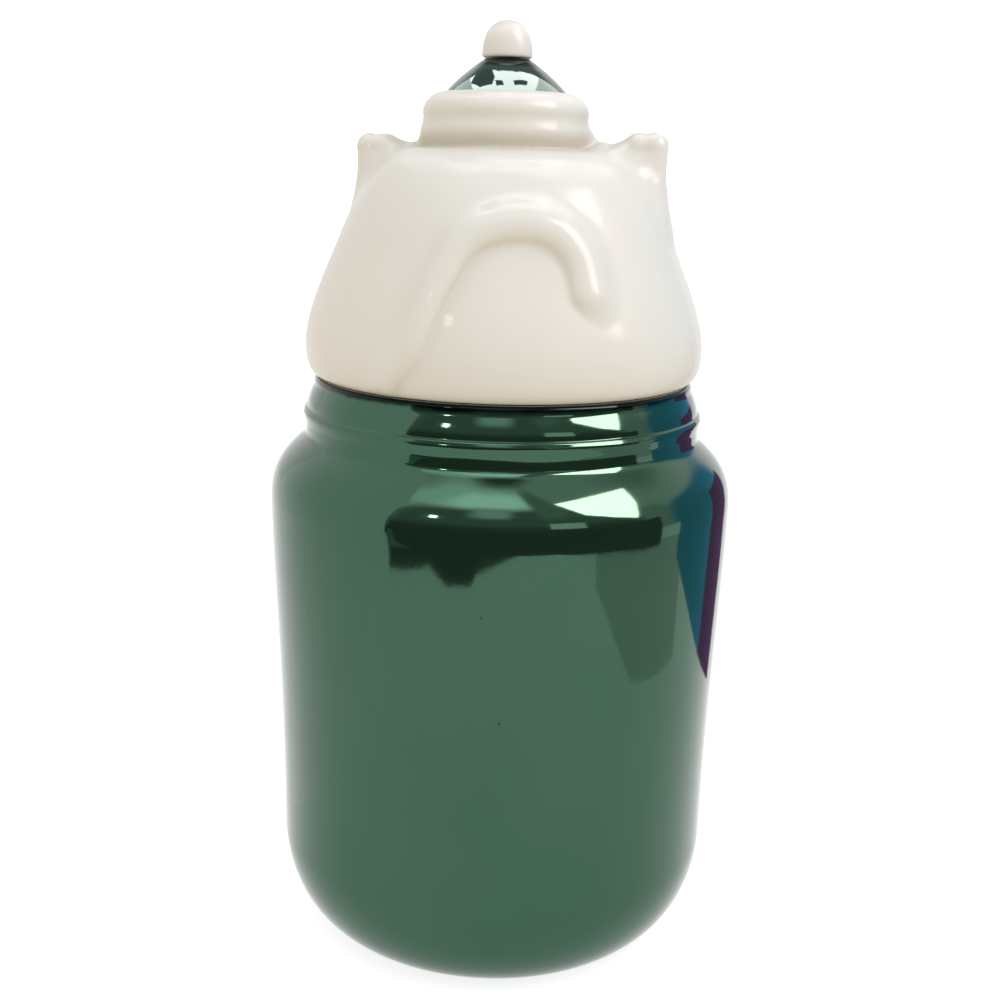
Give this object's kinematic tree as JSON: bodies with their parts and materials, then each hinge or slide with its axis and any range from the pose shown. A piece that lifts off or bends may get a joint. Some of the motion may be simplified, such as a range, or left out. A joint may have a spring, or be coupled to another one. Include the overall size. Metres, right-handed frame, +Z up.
{
  "type": "figural canister",
  "caption": "Round pearl-glazed ceramic food canister with a lift-off hollow lid shaped as a sitting cat in a winter hat, sealed by a soft ring round the lid's plug.",
  "frame": {"origin": "centre of the foot ring, on the surface that the jar stands on", "axes": "+Z up along the jar's axis, +Y towards the front of the cat, +X to the right seen from behind the cat"},
  "size_m": [0.1186, 0.1186, 0.2334],
  "materials": {
    "jar_glaze": "dark green pearl glaze, mirror-bright",
    "white_glaze": "warm white gloss glaze",
    "gasket": "frosted soft ring, matte",
    "crown_glaze": "dark green pearl glaze, mirror-bright",
    "pompom_glaze": "warm white gloss glaze"
  },
  "bodies": {
    "jar": {"jar": "jar_glaze"},
    "seal": {"lid_gasket": "gasket"},
    "lid": {"lid_shell": "white_glaze", "hat_crown": "crown_glaze", "pompom": "pompom_glaze"}
  },
  "joints": [
    {"name": "lid_lift", "type": "slide", "parent": "jar", "child": "seal", "axis": [0, 0, 1], "range_m": [0, 0.12]},
    {"name": "lid_turn", "type": "hinge", "parent": "seal", "child": "lid", "pos_m": [0, 0, 0.1475], "axis": [0, 0, 1], "continuous": true}
  ]
}
